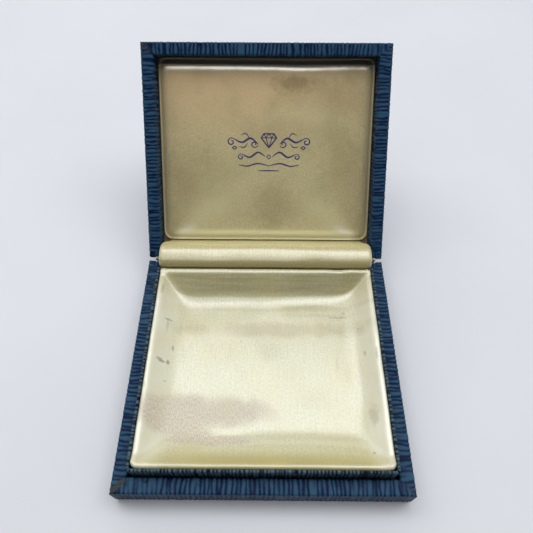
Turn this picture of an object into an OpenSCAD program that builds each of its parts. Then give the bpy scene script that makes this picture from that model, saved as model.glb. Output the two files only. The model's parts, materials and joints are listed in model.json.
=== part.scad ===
// Hinged presentation case for jewelry, shown with its lid open.
// Origin: centre of the underside. X is the width, Y runs from the front to the hinge, Z is up.
// Lid parts are drawn closed, in the same frame as the base, and lid_pose() swings them open.

/* [Case] */
// Width of the closed case over its covering
case_w = 105; // [95:1:125]
// Depth of the closed case over its covering
case_d = 93.5; // [85:0.5:115]
// Height of each half, from its rim to its outer face
half_h = 12; // [11.5:0.5:14]
// Space left between the two rims when the case is shut
shut_gap = 0.2; // [0.1:0.05:0.3]
// Angle the lid stands open, from shut
lid_open = 130; // [128:1:140]

/* [Walls] */
// Thickness of the ribbed covering paper
paper_t = 0.35; // [0.3:0.05:0.4]
// Thickness of the wooden rails
rail_t = 4.5; // [4:0.25:5]
// Thickness of the top and bottom boards
board_t = 2; // [1.5:0.25:2.5]
// How far the covering is turned in over the top and bottom boards
turn_in = 8; // [6:0.5:12]
// Strip of turned-in covering that the top and bottom sheets leave bare
sheet_margin = 1; // [0.5:0.25:3]

/* [Collar] */
// Height of the collar above the base rim
collar_rise = 6; // [4:0.5:6]
// Space between the collar and the walls at the sides
collar_gap_side = 0.5; // [0.4:0.05:0.8]
// Space between the collar and the front wall
collar_gap_front = 0.6; // [0.6:0.05:1]
// Thickness of the collar card
collar_card_t = 0.8; // [0.6:0.1:1]
// Thickness of the paper over the collar
collar_paper_t = 0.15; // [0.1:0.05:0.2]

/* [Tray] */
// Height of the tray floor above the underside
tray_floor_z = 8.5; // [7:0.5:10]
// Width of the sloping sides of the well
slope_w = 11; // [8:0.5:14]
// How far the tray's edge lies below the top of the collar
tray_drop = 0.6; // [0.4:0.1:1.5]
// Thickness of the tray's card former
former_t = 1; // [0.8:0.1:1.4]
// Thickness of the satin
satin_t = 0.3; // [0.2:0.05:0.4]

/* [Lid pad] */
// Depth of the pad's face below the lid rim
pad_depth = 5.6; // [5.4:0.1:6.5]
// Width over which the pad rounds off to its edges
pad_round = 6; // [4:0.5:9]
// Thickness of the pad's card
pad_card_t = 1; // [0.8:0.1:1.2]

/* [Hinge] */
// Distance from each end of the hinge to the side of the case
hinge_inset = 3.5; // [2.5:0.5:8]
// Radius of the hinge pin
pin_r = 0.45; // [0.4:0.05:0.5]
// Thickness of the hinge leaves
leaf_t = 0.3; // [0.25:0.05:0.35]
// Width of the snap spring
spring_w = 30; // [20:1:50]
// Height of the apron's arch above the line between its two edges
apron_rise = 6.4; // [6:0.1:6.6]

/* [Hidden] */

ARC_FN = 48;
eps = 0.01;

// Walls
shut_h = 2 * half_h + shut_gap;
wall_t = rail_t + 2 * paper_t;
board_top = 2 * paper_t + board_t;
rail_face = case_d / 2 - paper_t;
inner_x = case_w / 2 - wall_t;
inner_y = case_d / 2 - wall_t;
mitre_w = turn_in + 0.5;

// Collar
collar_t = collar_card_t + 2 * collar_paper_t;
collar_top = half_h + collar_rise;
collar_x = inner_x - collar_gap_side;
collar_front = -(inner_y - collar_gap_front);
collar_paper_z = half_h - 6;
lining_gap = 0.1;
tray_rear_gap = 2.15;
collar_rear = inner_y - tray_rear_gap - 0.2;

// Tray
tray_x = collar_x - collar_t - lining_gap;
tray_front = collar_front + collar_t + lining_gap;
tray_rear = inner_y - tray_rear_gap;
tray_top = collar_top - tray_drop;
tray_skirt_z = half_h - 4;
slope_steps = 8;

// Hinge
hinge_len = case_w - 2 * hinge_inset;
barrel_clear = 0.02;
bore_r = pin_r + barrel_clear;
barrel_r = bore_r + leaf_t;
hinge_y = case_d / 2 + 0.45;
hinge_z = half_h + shut_gap / 2;
knuckles = 5;
knuckle_gap = 0.2;
knuckle_len = hinge_len / knuckles;
pin_overhang = 0.5;
leaf_low = 5;
leaf_top = half_h - 0.7;
web_z = leaf_top - 0.2;
web_h = 0.5;
rabbet_y = rail_face - 0.4;
rabbet_z = half_h - 1;
rabbet_len = hinge_len + 1.2;

// Tacks
tack_count = 6;
tack_z = 8;
tack_r = 0.35;
tack_head_r = 0.75;
tack_head_t = 0.2;
tack_len = 3.4;
tack_clear = 0.03;
tack_pitch = hinge_len / tack_count;

// Lid pad
pad_gap = 0.5;
pad_x = inner_x - pad_gap;
pad_front = -(inner_y - pad_gap);
pad_rear = inner_y - 1.55;
pad_card_top = shut_h - board_top;
pad_edge_z = pad_card_top - pad_card_t - 0.3;
pad_face_z = half_h + shut_gap + pad_depth;
pad_steps = 6;

// Apron and spring, as paths in the Y-Z plane
apron_t = 0.3;
stiffener_t = 0.4;
stiffener_gap = 0.15;
apron_end = 0.5;
apron_len = 2 * (inner_x - apron_end);
stiffener_len = apron_len - 2 * apron_end;
apron_foot = [inner_y - 1.35, half_h + 4];
apron_head = [inner_y - 1.0, half_h + shut_gap + 8];
apron_tail_z = 9;
apron_head_tail = 1.3;
arc_steps = 20;
spring_t = 0.25;
spring_foot_y = inner_y - 0.25;
spring_foot_z = 6;
spring_inset = 2;
spring_head_z = shut_h - board_top - 0.4;

function turned(p, a) = [
  hinge_y + (p.x - hinge_y) * cos(a) - (p.y - hinge_z) * sin(a),
  hinge_z + (p.x - hinge_y) * sin(a) + (p.y - hinge_z) * cos(a)
];
function opened(p) = turned(p, -lid_open);
function shut(p) = turned(p, lid_open);

// The apron's arch: the circle through its two edges that rises apron_rise above their chord
arch_a = apron_foot;
arch_b = opened(apron_head);
chord = arch_b - arch_a;
arch_r = (chord * chord / 4 + apron_rise * apron_rise) / (2 * apron_rise);
chord_up = [-chord.y, chord.x] / norm(chord);
arch_c = (arch_a + arch_b) / 2 - (arch_r - apron_rise) * chord_up;
arch_from = atan2(arch_a.y - arch_c.y, arch_a.x - arch_c.x);
arch_to = atan2(arch_b.y - arch_c.y, arch_b.x - arch_c.x);

stiffener_r = arch_r - apron_t / 2 - stiffener_gap - stiffener_t / 2;
spring_r = stiffener_r - spring_inset + stiffener_t;
spring_from = 180 - acos((arch_c.x - spring_foot_y) / spring_r);
arch_c_shut = shut(arch_c);
spring_head_y = spring_foot_y;
spring_end_shut = [
  spring_head_y,
  arch_c_shut.y + sqrt(pow(spring_r, 2) - pow(spring_head_y - arch_c_shut.x, 2))
];
spring_end = opened(spring_end_shut);
spring_to = atan2(spring_end.y - arch_c.y, spring_end.x - arch_c.x);

function arc_path(r, from, to) = [
  for (i = [0 : arc_steps])
    let (a = from + (to - from) * i / arc_steps)
      arch_c + r * [cos(a), sin(a)]
];
function path_normal(path, i) =
  let (
    before = path[max(i - 1, 0)],
    after = path[min(i + 1, len(path) - 1)],
    run = (after - before) / norm(after - before)
  )
    [-run.y, run.x];
function strip_outline(path, t) = concat(
  [for (i = [0 : len(path) - 1]) path[i] + path_normal(path, i) * t / 2],
  [for (i = [len(path) - 1 : -1 : 0]) path[i] - path_normal(path, i) * t / 2]
);

// 0 at the start of a slope, 1 at its foot, level at both ends
function ease(u) = (1 - cos(180 * u)) / 2;

// ---------- Placing ----------

// An outline in (Y, Z), extruded along X and centred on it
module along_x(length) {
  rotate([90, 0, 90]) linear_extrude(length, center = true) children();
}

// An outline in (X, Z), extruded along Y between two places
module along_y(from, to) {
  translate([0, to, 0]) rotate([90, 0, 0]) linear_extrude(to - from) children();
}

module lid_pose() {
  translate([0, hinge_y, hinge_z])
    rotate([-lid_open, 0, 0])
      translate([0, -hinge_y, -hinge_z])
        children();
}

// Turns a part of the base half into the same part of the shut lid
module as_lid() {
  translate([0, 0, shut_h]) mirror([0, 0, 1]) children();
}

// A bar along one side, mitred at both ends; its outline is (distance in from the face, height)
module side_bar(side) {
  length = (side == "front" || side == "rear") ? case_w : case_d;
  reach = (side == "front" || side == "rear") ? case_d : case_w;
  turn = side == "front" ? 0 : side == "right" ? 90 : side == "rear" ? 180 : 270;
  rotate([0, 0, turn])
    translate([0, -reach / 2, 0])
      intersection() {
        along_x(length) children();
        linear_extrude(shut_h)
          polygon([
            [-length / 2, 0], [length / 2, 0],
            [length / 2 - mitre_w, mitre_w], [-length / 2 + mitre_w, mitre_w]
          ]);
      }
}

// ---------- Both halves ----------

// A plate inset by margin from the sides of the case
module plate(margin, low, high) {
  translate([-case_w / 2 + margin, -case_d / 2 + margin, low])
    cube([case_w - 2 * margin, case_d - 2 * margin, high - low]);
}

// The board, skived along its border so that the turned-in covering lies flush
module half_board() {
  plate(paper_t, 2 * paper_t, board_top);
  plate(turn_in, paper_t, 2 * paper_t + eps);
}

module half_sheet() {
  plate(sheet_margin, 0, paper_t);
}

module half_rail(side) {
  side_bar(side)
    translate([paper_t, board_top]) square([rail_t, half_h - paper_t - board_top]);
}

module half_cover(side) {
  side_bar(side)
    polygon([
      [0, paper_t], [turn_in, paper_t], [turn_in, 2 * paper_t], [paper_t, 2 * paper_t],
      [paper_t, half_h - paper_t], [wall_t - paper_t, half_h - paper_t],
      [wall_t - paper_t, board_top], [wall_t, board_top],
      [wall_t, half_h], [0, half_h]
    ]);
}

// Room for the hinge barrel along the rear edge of the rim
module barrel_rabbet() {
  translate([-rabbet_len / 2, rabbet_y, rabbet_z])
    cube([rabbet_len, case_d / 2 - rabbet_y + 1, half_h]);
}

module tack_places() {
  for (i = [0 : tack_count - 1])
    translate([(i - (tack_count - 1) / 2) * tack_pitch, rail_face, tack_z])
      rotate([90, 0, 0])
        children();
}

module half_rail_rear() {
  difference() {
    half_rail("rear");
    barrel_rabbet();
    translate([-hinge_len / 2, rail_face - leaf_t, leaf_low])
      cube([hinge_len, leaf_t + 1, half_h]);
    tack_places() cylinder(h = tack_len + tack_clear, r = tack_r + tack_clear, $fn = ARC_FN);
  }
}

module half_cover_rear() {
  difference() {
    half_cover("rear");
    barrel_rabbet();
  }
}

// One hinge leaf with the knuckles of the base (first = 0) or of the lid (first = 1)
module half_leaf(first) {
  difference() {
    union() {
      translate([-hinge_len / 2, rail_face - leaf_t, leaf_low])
        cube([hinge_len, leaf_t, leaf_top - leaf_low]);
      for (k = [first : 2 : knuckles - 1])
        translate([-hinge_len / 2 + k * knuckle_len + knuckle_gap / 2, 0, 0])
          difference() {
            union() {
              translate([0, rail_face - leaf_t, web_z])
                cube([knuckle_len - knuckle_gap, hinge_y - rail_face + leaf_t, web_h]);
              translate([0, hinge_y, hinge_z])
                rotate([0, 90, 0])
                  cylinder(h = knuckle_len - knuckle_gap, r = barrel_r, $fn = ARC_FN);
            }
            translate([-1, hinge_y, hinge_z])
              rotate([0, 90, 0])
                cylinder(h = knuckle_len + 2, r = bore_r, $fn = ARC_FN);
          }
    }
    tack_places() {
      translate([0, 0, -1]) cylinder(h = 1 + tack_head_t, r = tack_head_r + tack_clear, $fn = ARC_FN);
      cylinder(h = tack_len, r = tack_r + tack_clear, $fn = ARC_FN);
    }
  }
}

module half_tacks() {
  tack_places() {
    cylinder(h = tack_head_t, r = tack_head_r, $fn = ARC_FN);
    cylinder(h = tack_len, r = tack_r, $fn = ARC_FN);
  }
}

// ---------- Collar ----------

// A wall of the collar along the front; inset takes the covering off every face
module collar_front_wall(inset, low) {
  translate([-collar_x + inset, collar_front + inset, low])
    cube([2 * (collar_x - inset), collar_t - 2 * inset, collar_top - inset - low]);
}

module collar_side_wall(inset, low) {
  front = collar_front + collar_t;
  translate([collar_x - collar_t + inset, front + inset, low])
    cube([collar_t - 2 * inset, collar_rear - front - 2 * inset, collar_top - inset - low]);
}

module collar_paper_front_shape() {
  difference() {
    collar_front_wall(0, collar_paper_z);
    collar_front_wall(collar_paper_t, collar_paper_z - 1);
  }
}

module collar_paper_side_shape() {
  difference() {
    collar_side_wall(0, collar_paper_z);
    collar_side_wall(collar_paper_t, collar_paper_z - 1);
  }
}

// ---------- Tray ----------

// Outline of the well between two edges: it falls by ease() to a level floor
module well_outline(low_edge, high_edge, drop) {
  falls = [
    for (i = [0 : slope_steps])
      [slope_w * i / slope_steps, tray_top - drop - (tray_top - tray_floor_z) * ease(i / slope_steps)]
  ];
  polygon(concat(
    [[low_edge, collar_top + 1]],
    [for (p = falls) [low_edge + p.x, p.y]],
    [for (i = [slope_steps : -1 : 0]) [high_edge - falls[i].x, falls[i].y]],
    [[high_edge, collar_top + 1]]
  ));
}

// The well: wherever both outlines are open
module well(drop) {
  edge = former_t + satin_t;
  intersection() {
    along_y(tray_front - 1, tray_rear + 1) well_outline(-tray_x + edge, tray_x - edge, drop);
    along_x(case_w) well_outline(tray_front + edge, tray_rear - edge, drop);
  }
}

module tray_block(inset, low, high) {
  translate([-tray_x + inset, tray_front + inset, low])
    cube([2 * (tray_x - inset), tray_rear - tray_front - 2 * inset, high - low]);
}

// ---------- Lid pad ----------

// Outline of the pad between two edges: it swells down from its card to its face
module pad_outline(low_edge, high_edge, inset) {
  swell = [
    for (i = [0 : pad_steps])
      let (a = 90 * i / pad_steps)
        [pad_round * (1 - cos(a)), pad_edge_z - (pad_edge_z - pad_face_z) * sin(a)]
  ];
  polygon(concat(
    [[low_edge + inset, pad_card_top - inset]],
    [for (p = swell) [low_edge + inset + p.x, p.y + inset]],
    [for (i = [pad_steps : -1 : 0]) [high_edge - inset - swell[i].x, swell[i].y + inset]],
    [[high_edge - inset, pad_card_top - inset]]
  ));
}

module pad_body(inset) {
  intersection() {
    along_y(pad_front - 1, pad_rear + 1) pad_outline(-pad_x, pad_x, inset);
    along_x(case_w) pad_outline(pad_front, pad_rear, inset);
  }
}

module pad_slab(inset, low, high) {
  translate([-pad_x + inset, pad_front + inset, low])
    cube([2 * (pad_x - inset), pad_rear - pad_front - 2 * inset, high - low]);
}

// ---------- Base nodes ----------

module base_board() { color("burlywood") half_board(); }
module base_rail_front() { color("tan") half_rail("front"); }
module base_rail_rear() { color("tan") half_rail_rear(); }
module base_rail_left() { color("tan") half_rail("left"); }
module base_rail_right() { color("tan") half_rail("right"); }
module base_cover_front() { color("steelblue") half_cover("front"); }
module base_cover_rear() { color("steelblue") half_cover_rear(); }
module base_cover_left() { color("steelblue") half_cover("left"); }
module base_cover_right() { color("steelblue") half_cover("right"); }
module base_sheet() { color("midnightblue") half_sheet(); }

module collar_card_front() { color("tan") collar_front_wall(collar_paper_t, board_top); }
module collar_card_right() { color("tan") collar_side_wall(collar_paper_t, board_top); }
module collar_card_left() { color("tan") mirror([1, 0, 0]) collar_side_wall(collar_paper_t, board_top); }
module collar_paper_front() { color("darkslateblue") collar_paper_front_shape(); }
module collar_paper_right() { color("darkslateblue") collar_paper_side_shape(); }
module collar_paper_left() { color("darkslateblue") mirror([1, 0, 0]) collar_paper_side_shape(); }

module tray_former() {
  color("tan")
    difference() {
      tray_block(satin_t, board_top, tray_top - satin_t);
      tray_block(satin_t + former_t, board_top + former_t, collar_top);
    }
}

module tray_wadding() {
  color("whitesmoke")
    difference() {
      tray_block(satin_t + former_t, board_top + former_t, tray_top - satin_t);
      well(satin_t);
    }
}

module tray_satin() {
  color("cornsilk")
    difference() {
      tray_block(0, tray_skirt_z, tray_top);
      well(0);
      difference() {
        tray_block(satin_t, board_top, tray_top - satin_t);
        well(satin_t);
      }
    }
}

module hinge_leaf_base() { color("silver") half_leaf(0); }

module hinge_pin() {
  color("gray")
    translate([-hinge_len / 2 - pin_overhang, hinge_y, hinge_z])
      rotate([0, 90, 0])
        cylinder(h = hinge_len + 2 * pin_overhang, r = pin_r, $fn = ARC_FN);
}

module hinge_tacks_base() { color("gray") half_tacks(); }

module snap_spring() {
  color("lightsteelblue")
    along_x(spring_w)
      polygon(strip_outline(
        concat(
          [[spring_foot_y, spring_foot_z]],
          arc_path(spring_r, spring_from, spring_to),
          [opened([spring_head_y, spring_head_z])]
        ),
        spring_t
      ));
}

module apron_stiffener() {
  color("tan")
    along_x(stiffener_len)
      polygon(strip_outline(arc_path(stiffener_r, arch_from, arch_to), stiffener_t));
}

module apron_satin() {
  color("cornsilk")
    along_x(apron_len)
      polygon(strip_outline(
        concat(
          [[apron_foot.x, apron_tail_z]],
          arc_path(arch_r, arch_from, arch_to),
          [opened([apron_head.x, apron_head.y + apron_head_tail])]
        ),
        apron_t
      ));
}

// ---------- Lid nodes ----------

module lid_board() { color("burlywood") lid_pose() as_lid() half_board(); }
module lid_rail_front() { color("tan") lid_pose() as_lid() half_rail("front"); }
module lid_rail_rear() { color("tan") lid_pose() as_lid() half_rail_rear(); }
module lid_rail_left() { color("tan") lid_pose() as_lid() half_rail("left"); }
module lid_rail_right() { color("tan") lid_pose() as_lid() half_rail("right"); }
module lid_cover_front() { color("steelblue") lid_pose() as_lid() half_cover("front"); }
module lid_cover_rear() { color("steelblue") lid_pose() as_lid() half_cover_rear(); }
module lid_cover_left() { color("steelblue") lid_pose() as_lid() half_cover("left"); }
module lid_cover_right() { color("steelblue") lid_pose() as_lid() half_cover("right"); }
module lid_sheet() { color("midnightblue") lid_pose() as_lid() half_sheet(); }

module lid_pad_card() {
  color("tan") lid_pose() pad_slab(satin_t, pad_card_top - pad_card_t, pad_card_top - satin_t);
}

module lid_pad_wadding() {
  color("whitesmoke")
    lid_pose()
      intersection() {
        pad_body(satin_t);
        pad_slab(satin_t, pad_face_z, pad_card_top - pad_card_t);
      }
}

module lid_pad_satin() {
  color("wheat")
    lid_pose()
      difference() {
        pad_body(0);
        pad_body(satin_t);
      }
}

module hinge_leaf_lid() { color("silver") lid_pose() as_lid() half_leaf(1); }
module hinge_tacks_lid() { color("gray") lid_pose() as_lid() half_tacks(); }

base_board();
base_rail_front();
base_rail_rear();
base_rail_left();
base_rail_right();
base_cover_front();
base_cover_rear();
base_cover_left();
base_cover_right();
base_sheet();
collar_card_front();
collar_card_left();
collar_card_right();
collar_paper_front();
collar_paper_left();
collar_paper_right();
tray_former();
tray_wadding();
tray_satin();
hinge_leaf_base();
hinge_pin();
hinge_tacks_base();
snap_spring();
apron_stiffener();
apron_satin();
lid_board();
lid_rail_front();
lid_rail_rear();
lid_rail_left();
lid_rail_right();
lid_cover_front();
lid_cover_rear();
lid_cover_left();
lid_cover_right();
lid_sheet();
lid_pad_card();
lid_pad_wadding();
lid_pad_satin();
hinge_leaf_lid();
hinge_tacks_lid();
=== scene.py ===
"""Looks of the hinged jewelry case: ribbed covering paper, satin tray, lid pad and apron, light and camera.

Shapes are worked out in millimetres. The base is drawn as it stands. The lid is drawn lying on its back, as a second
base, and placed() swings it into its open position.
"""
import json
import math

import bpy
import numpy as np
from mathutils import Matrix, Vector
from mathutils.bvhtree import BVHTree


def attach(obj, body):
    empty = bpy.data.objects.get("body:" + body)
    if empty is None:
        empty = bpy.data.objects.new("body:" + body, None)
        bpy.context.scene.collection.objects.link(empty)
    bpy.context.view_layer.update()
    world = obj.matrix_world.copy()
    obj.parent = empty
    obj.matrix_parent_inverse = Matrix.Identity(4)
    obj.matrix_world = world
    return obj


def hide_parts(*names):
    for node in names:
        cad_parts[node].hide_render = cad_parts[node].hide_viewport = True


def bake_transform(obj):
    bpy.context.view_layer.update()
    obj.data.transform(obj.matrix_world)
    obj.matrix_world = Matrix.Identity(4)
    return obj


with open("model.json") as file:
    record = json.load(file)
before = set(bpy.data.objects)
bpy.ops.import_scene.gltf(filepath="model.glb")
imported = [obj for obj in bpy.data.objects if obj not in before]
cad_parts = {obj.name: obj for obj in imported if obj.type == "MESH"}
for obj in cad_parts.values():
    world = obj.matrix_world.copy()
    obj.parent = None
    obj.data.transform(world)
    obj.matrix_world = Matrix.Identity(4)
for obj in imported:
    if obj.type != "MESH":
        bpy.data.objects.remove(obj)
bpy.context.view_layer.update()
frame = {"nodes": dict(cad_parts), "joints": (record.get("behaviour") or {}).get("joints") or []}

MM = 0.001

# ---------- Sizes, from the CAD pieces ----------

joint = frame["joints"][0]
HINGE_Y, HINGE_Z = joint["pos_m"][1] / MM, joint["pos_m"][2] / MM
OPEN_ANGLE = math.radians(joint["range_deg"][1])


def swing(points, angle):
    """Points turned about the hinge axis."""
    points = np.asarray(points, float)
    y, z = points[..., 1] - HINGE_Y, points[..., 2] - HINGE_Z
    c, s = math.cos(angle), math.sin(angle)
    return np.stack([points[..., 0], HINGE_Y + y * c - z * s, HINGE_Z + y * s + z * c], axis=-1)


def mirrored(points):
    """Swaps a place in the base for the same place in the shut lid, and back."""
    points = np.array(points, float)
    points[..., 2] = 2 * HINGE_Z - points[..., 2]
    return points


def placed(points, body):
    """Points of a half that lies on its back, where that half is at rest."""
    return points if body == "base" else swing(mirrored(points), -OPEN_ANGLE)


def span(node, body="base"):
    """Lowest and highest corner of a CAD piece, in millimetres, with its half lying on its back."""
    points = np.array([v.co for v in frame["nodes"][node].data.vertices]) / MM
    if body == "lid":
        points = mirrored(swing(points, OPEN_ANGLE))
    return points.min(axis=0), points.max(axis=0)


cover_low, cover_high = span("base_cover_front")
rail_low, rail_high = span("base_rail_front")
CASE_W = cover_high[0] - cover_low[0]
CASE_D = -2 * cover_low[1]
RIM_Z = cover_high[2]
TURN_IN = cover_high[1] - cover_low[1]
PAPER = rail_low[1] - cover_low[1]
WALL = rail_high[1] - cover_low[1] + PAPER
BOARD_TOP = rail_low[2]

# ---------- Meshes ----------


def noise_1d(seed, at, step, size):
    """Smooth noise along a line, about size high, with one random knot per step."""
    at = np.asarray(at, float) / step
    knots = np.random.default_rng(seed).normal(0, size, 4096)
    low = np.floor(at).astype(int)
    part = at - low
    part = part * part * (3 - 2 * part)
    return knots[(low + 2048) % 4096] * (1 - part) + knots[(low + 2049) % 4096] * part


def noise_2d(seed, x, y, step_x, step_y, size):
    """Smooth noise over a plane, about size high."""
    knots = np.random.default_rng(seed).normal(0, size, (512, 512))
    x, y = np.asarray(x, float) / step_x, np.asarray(y, float) / step_y
    i, j = np.floor(x).astype(int), np.floor(y).astype(int)
    u, v = x - i, y - j
    u, v = u * u * (3 - 2 * u), v * v * (3 - 2 * v)
    i, j = i + 256, j + 256
    rows = [knots[(i + a) % 512, (j + b) % 512] for a in (0, 1) for b in (0, 1)]
    return (rows[0] * (1 - v) + rows[1] * v) * (1 - u) + (rows[2] * (1 - v) + rows[3] * v) * u


def smoothstep(low, high, value):
    t = np.clip((np.asarray(value, float) - low) / (high - low), 0, 1)
    return t * t * (3 - 2 * t)


def make_mesh(name, points, faces, body, material, values):
    """A mesh object from points in millimetres, in the half's own lying position."""
    points = placed(np.asarray(points, float), body) * MM
    if body == "lid":
        faces = [tuple(reversed(face)) for face in faces]
    mesh = bpy.data.meshes.new(name)
    mesh.from_pydata(points.tolist(), [], faces)
    for key, value in values.items():
        value = np.asarray(value, np.float32)
        kind = "FLOAT_VECTOR" if value.ndim == 2 else "FLOAT"
        layer = mesh.attributes.new(key, kind, "POINT")
        layer.data.foreach_set("vector" if value.ndim == 2 else "value", value.ravel())
    mesh.materials.append(material)
    mesh.update()
    mesh.shade_smooth()
    piece = bpy.data.objects.new(name, mesh)
    bpy.context.scene.collection.objects.link(piece)
    return piece


def grid_faces(rows, columns, closed=False):
    """Quads of a grid of rows x columns points; closed joins the last column to the first."""
    faces = []
    for i in range(rows - 1):
        for j in range(columns if closed else columns - 1):
            k = (j + 1) % columns
            a, b = i * columns, (i + 1) * columns
            faces.append((a + j, b + j, b + k, a + k))
    return faces


def arc(centre, radius, start, end, steps):
    """Points along an arc, angles in degrees."""
    angles = np.radians(np.linspace(start, end, steps + 1))
    return [(centre[0] + radius * math.cos(a), centre[1] + radius * math.sin(a)) for a in angles]


def line(start, end, steps):
    return [tuple(p) for p in np.linspace(start, end, steps + 1)]


def path_length(points):
    steps = np.linalg.norm(np.diff(points, axis=0), axis=1)
    return np.concatenate([[0], np.cumsum(steps)])


def unique_points(points):
    """Drops a point that repeats the one before it."""
    kept = [points[0]]
    for p in points[1:]:
        if math.dist(p, kept[-1]) > 1e-4:
            kept.append(p)
    return np.array(kept)


# ---------- Materials ----------


def new_material(name, roughness):
    material = bpy.data.materials.new(name)
    material.use_nodes = True
    tree = material.node_tree
    shader = tree.nodes["Principled BSDF"]
    shader.inputs["Roughness"].default_value = roughness
    return material, tree, shader


def add(tree, kind, inputs=None, out=0, **settings):
    """Adds a node, sets or links its inputs, and returns one of its outputs."""
    node = tree.nodes.new("ShaderNode" + kind)
    for key, value in settings.items():
        setattr(node, key, value)
    for key, value in (inputs or {}).items():
        if isinstance(value, bpy.types.NodeSocket):
            tree.links.new(value, node.inputs[key])
        else:
            node.inputs[key].default_value = value
    return node.outputs[out]


def math_node(tree, operation, a, b=0.0):
    return add(tree, "Math", {0: a, 1: b}, operation=operation)


def plus(tree, a, b):
    return math_node(tree, "ADD", a, b)


def times(tree, a, b):
    return math_node(tree, "MULTIPLY", a, b)


def highest(tree, a, b):
    return math_node(tree, "MAXIMUM", a, b)


def mix(tree, amount, a, b):
    """Colour a where amount is 0 and b where it is 1."""
    return add(tree, "Mix", {0: amount, 6: a, 7: b}, out=2, data_type="RGBA")


def tinted(tree, colour, amount, strength, tint):
    """The colour with a share of the tint laid over it."""
    return mix(tree, times(tree, amount, strength), colour, tint)


def remap(tree, value, low, high, to_low=0.0, to_high=1.0):
    return add(tree, "MapRange", {0: value, 1: low, 2: high, 3: to_low, 4: to_high}, interpolation_type="SMOOTHSTEP")


def stretched(tree, vector, scale):
    return add(tree, "Mapping", {"Vector": vector, "Scale": scale})


def noise(tree, vector, scale, detail, roughness, distortion=0.0):
    return add(tree, "TexNoise", {"Vector": vector, "Scale": scale, "Detail": detail, "Roughness": roughness,
                                  "Distortion": distortion})


def attribute(tree, name, out=2):
    return add(tree, "Attribute", out=out, attribute_name=name)


def laid(tree):
    """Place on the flat cloth or paper, in millimetres."""
    return attribute(tree, "laid", out=1)


def paint(tree, shader, colour):
    tree.links.new(colour, shader.inputs["Base Color"])


def bump(tree, shader, height, distance, strength):
    normal = add(tree, "Bump", {"Height": height, "Distance": distance * MM, "Strength": strength})
    tree.links.new(normal, shader.inputs["Normal"])


def rgb(red, green, blue):
    """A colour given as it looks on screen, from 0 to 255."""
    shares = [c / 255 / 12.92 if c <= 10 else ((c / 255 + 0.055) / 1.055) ** 2.4 for c in (red, green, blue)]
    return (*shares, 1)


def ribbed_paper(name, ridge, groove, grain=1.0):
    """Crinkled covering paper: pale ridges, dark grooves, fibres across the ribs, worn places."""
    material, tree, shader = new_material(name, roughness=0.5)
    at = laid(tree)
    depth = attribute(tree, "groove")
    fibres = noise(tree, stretched(tree, at, (1.6, 0.5, 1)), 2.2 * grain, 4, 0.65)
    blotches = noise(tree, at, 0.35, 3, 0.6)
    specks = noise(tree, stretched(tree, at, (1, 1.3, 1)), 5.5 * grain, 3, 0.7)
    shade = plus(tree, depth, remap(tree, fibres, 0.3, 0.75, 0.16, -0.14))
    shade = plus(tree, shade, remap(tree, blotches, 0.3, 0.7, 0.08, -0.08))
    paper = mix(tree, add(tree, "MapRange", {0: shade, 1: 0.08, 2: 0.78}), ridge, groove)
    pale = mix(tree, 0.35, ridge, rgb(150, 165, 175))
    paper = mix(tree, remap(tree, specks, 0.62, 0.78, 0.0, 0.55), paper, pale)
    wear = attribute(tree, "wear")
    scuffs = noise(tree, at, 2.4, 5, 0.7)
    worn = times(tree, wear, remap(tree, scuffs, 0.25, 0.6, 0.35, 1.3))
    bare = mix(tree, remap(tree, specks, 0.35, 0.65), rgb(78, 78, 70), rgb(40, 44, 44))
    paper = mix(tree, remap(tree, worn, 0.25, 0.6), paper, bare)
    # Near-black marks: a spot on the base rim, and frayed threads with painted shade at the lid's hinge corner.
    paper = mix(tree, attribute(tree, "spot"), paper, rgb(6, 6, 8))
    paint(tree, shader, paper)
    rough = remap(tree, fibres, 0.3, 0.7, 0.42, 0.62)
    tree.links.new(rough, shader.inputs["Roughness"])
    shader.inputs["Specular IOR Level"].default_value = 0.12
    bump(tree, shader, plus(tree, fibres, times(tree, specks, 0.5)), 0.06, 0.8)
    return material


def satin(name, thread, roughness, warp=(3.2, 0.1), weft=0.0):
    """Woven satin seen from its warp side. Returns the material, its tree, shader, cloth place and thread colour."""
    material, tree, shader = new_material(name, roughness)
    at = laid(tree)
    warp_lines = noise(tree, stretched(tree, at, (warp[0], warp[1], 1)), 1.0, 3, 0.7)
    weft_lines = noise(tree, stretched(tree, at, (warp[1], warp[0], 1)), 1.0, 3, 0.7)
    fine = noise(tree, stretched(tree, at, (1.0, 0.8, 1)), 1.35, 4, 0.7)
    lines = plus(tree, times(tree, warp_lines, 1 - weft),
                      times(tree, weft_lines, weft))
    lines = plus(tree, times(tree, lines, 0.35), times(tree, fine, 0.65))
    dark = tuple(c * 0.78 for c in thread[:3]) + (1,)
    light = tuple(min(1.0, c * 1.12) for c in thread[:3]) + (1,)
    colour = mix(tree, remap(tree, lines, 0.36, 0.62), dark, light)
    bump(tree, shader, lines, 0.07, 0.6)
    shader.inputs["Specular IOR Level"].default_value = 1.0
    shader.inputs["IOR"].default_value = 1.75
    shader.inputs["Anisotropic"].default_value = 0.75
    tree.links.new(add(tree, "CombineXYZ", {0: 1.0, 1: 0.0, 2: 0.0}), shader.inputs["Tangent"])
    return material, tree, shader, at, colour


def near(tree, at, centre, radii, soft, wobble=0.0, grain=0.25):
    """1 inside an ellipse of the flat cloth, 0 outside it, with a ragged edge where wobble is more than 0."""
    away = add(tree, "VectorMath", {0: at, 1: (centre[0], centre[1], 0)}, operation="SUBTRACT")
    away = add(tree, "VectorMath", {0: away, 1: (1 / radii[0], 1 / radii[1], 0)}, operation="MULTIPLY")
    length = add(tree, "VectorMath", {0: away}, out=1, operation="LENGTH")
    if wobble:
        ragged = noise(tree, at, grain, 4, 0.6)
        length = plus(tree, length, remap(tree, ragged, 0.25, 0.75, -wobble, wobble))
    return remap(tree, length, 1 + soft, 1 - soft)


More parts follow.
